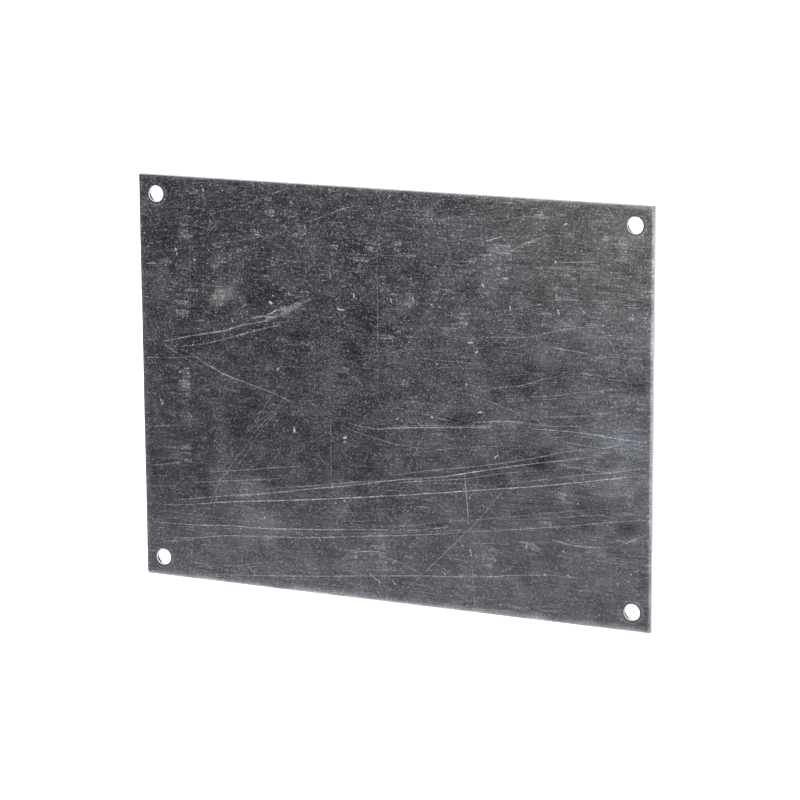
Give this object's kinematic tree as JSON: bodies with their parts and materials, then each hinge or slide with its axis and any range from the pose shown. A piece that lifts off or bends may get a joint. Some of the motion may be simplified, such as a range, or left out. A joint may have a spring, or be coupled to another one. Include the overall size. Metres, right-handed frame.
{
  "type": "rectangular cover plate",
  "caption": "Flat rectangular sheet steel cover plate with a round screw hole punched near each corner; it closes an opening or carries fittings behind a door.",
  "frame": {"origin": "centre of the back face, which is the centre of the bounding box's underside", "axes": "X along the long sides, Y along the short sides, +Z out of the front face; the plate lies on its back face"},
  "size_m": [0.2, 0.15, 0.002],
  "materials": {
    "zinc_coated_steel": "dull zinc-coated rolled sheet, rubbed and scratched, with bare sheared edges and punched hole walls"
  },
  "bodies": {
    "root": {"cover_plate": "zinc_coated_steel"}
  },
  "joints": []
}
